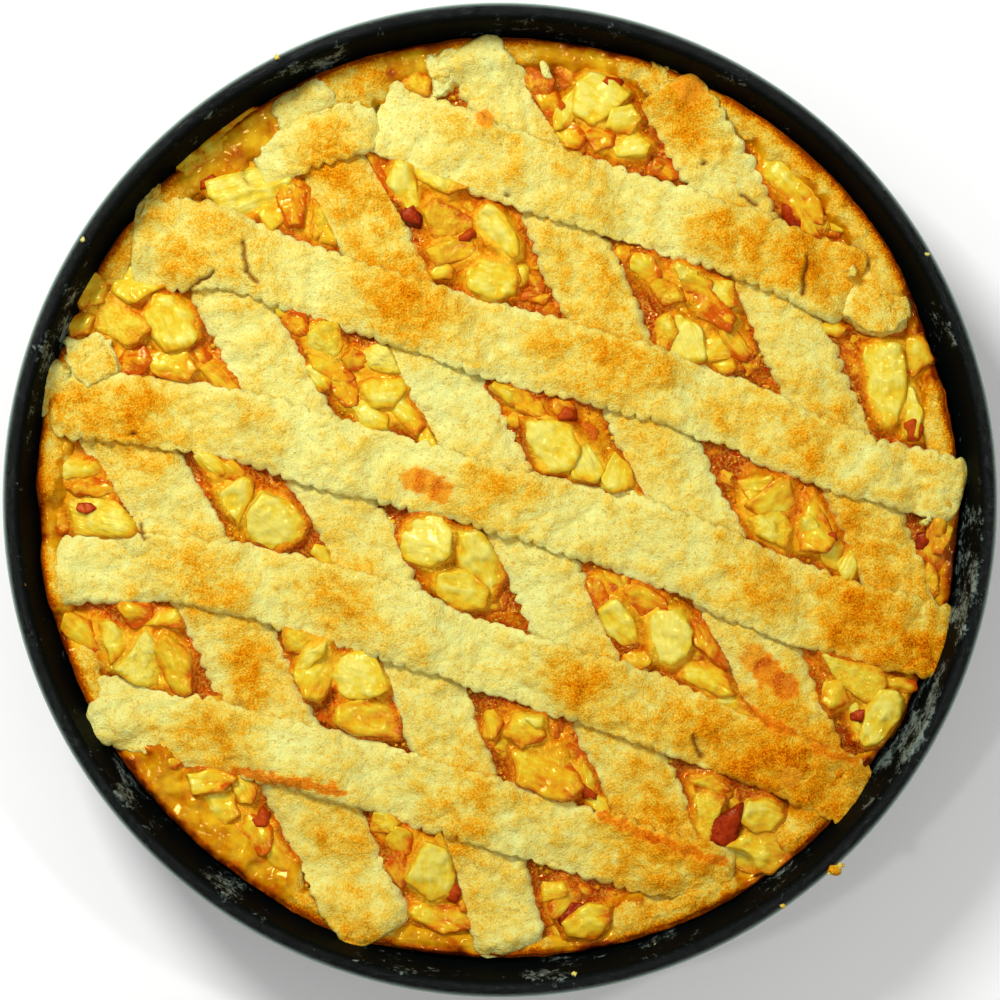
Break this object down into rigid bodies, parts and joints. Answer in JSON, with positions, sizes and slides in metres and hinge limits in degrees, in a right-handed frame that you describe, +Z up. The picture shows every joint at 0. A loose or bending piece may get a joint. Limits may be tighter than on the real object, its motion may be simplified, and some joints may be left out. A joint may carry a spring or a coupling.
{
  "type": "lattice apple pie",
  "caption": "Whole baked lattice apple pie with a golden pinked-strip top over glossy fruit and syrup, still in its own round dark enamelled tin.",
  "frame": {"origin": "centre of the tin's flat base, on the surface that the tin stands on", "axes": "+Z up, out of the tin's mouth; +Y away from the eater and +X to their right, with the upper lattice strips running down to the right at about 20 degrees to X"},
  "size_m": [0.268, 0.268, 0.045],
  "materials": {
    "dark_enamel": "glossy black-green vitreous enamel on steel",
    "browned_crust": "baked golden crust, dry and granular",
    "golden_pastry": "pale golden baked pastry, faintly glazed, browned in patches",
    "cooked_syrup": "glossy amber cooked syrup",
    "cooked_apple": "soft cooked apple, wet with syrup"
  },
  "bodies": {
    "root": {"tin": "dark_enamel", "pastry_case": "browned_crust", "filling": "cooked_syrup", "upper_strip_1": "golden_pastry", "upper_strip_2": "golden_pastry", "upper_strip_3": "golden_pastry", "upper_strip_4": "golden_pastry", "upper_strip_5": "golden_pastry", "upper_strip_6": "golden_pastry", "lower_strip_1": "golden_pastry", "lower_strip_2": "golden_pastry", "lower_strip_3": "golden_pastry", "lower_strip_4": "golden_pastry", "lower_strip_5": "golden_pastry", "crust_lump_01": "browned_crust", "crust_lump_02": "browned_crust", "crust_lump_03": "browned_crust", "apple_piece_01": "cooked_apple", "apple_piece_02": "cooked_apple", "apple_piece_03": "cooked_apple", "apple_piece_04": "cooked_apple", "apple_piece_05": "cooked_apple", "apple_piece_06": "cooked_apple", "apple_piece_07": "cooked_apple", "apple_piece_08": "cooked_apple", "apple_piece_09": "cooked_apple", "apple_piece_10": "cooked_apple", "apple_piece_11": "cooked_apple", "apple_piece_12": "cooked_apple", "apple_piece_13": "cooked_apple", "apple_piece_14": "cooked_apple", "apple_piece_15": "cooked_apple", "apple_piece_16": "cooked_apple", "apple_piece_17": "cooked_apple", "apple_piece_18": "cooked_apple", "apple_piece_19": "cooked_apple", "apple_piece_20": "cooked_apple", "apple_piece_21": "cooked_apple", "apple_piece_22": "cooked_apple", "apple_piece_23": "cooked_apple", "apple_piece_24": "cooked_apple", "apple_piece_25": "cooked_apple", "apple_piece_26": "cooked_apple", "apple_piece_27": "cooked_apple", "apple_piece_28": "cooked_apple", "apple_piece_29": "cooked_apple", "apple_piece_30": "cooked_apple", "apple_piece_31": "cooked_apple", "apple_piece_32": "cooked_apple", "apple_piece_33": "cooked_apple", "apple_piece_34": "cooked_apple", "apple_piece_35": "cooked_apple", "apple_piece_36": "cooked_apple", "apple_piece_37": "cooked_apple", "apple_piece_38": "cooked_apple", "apple_piece_39": "cooked_apple", "apple_piece_40": "cooked_apple"}
  },
  "joints": []
}
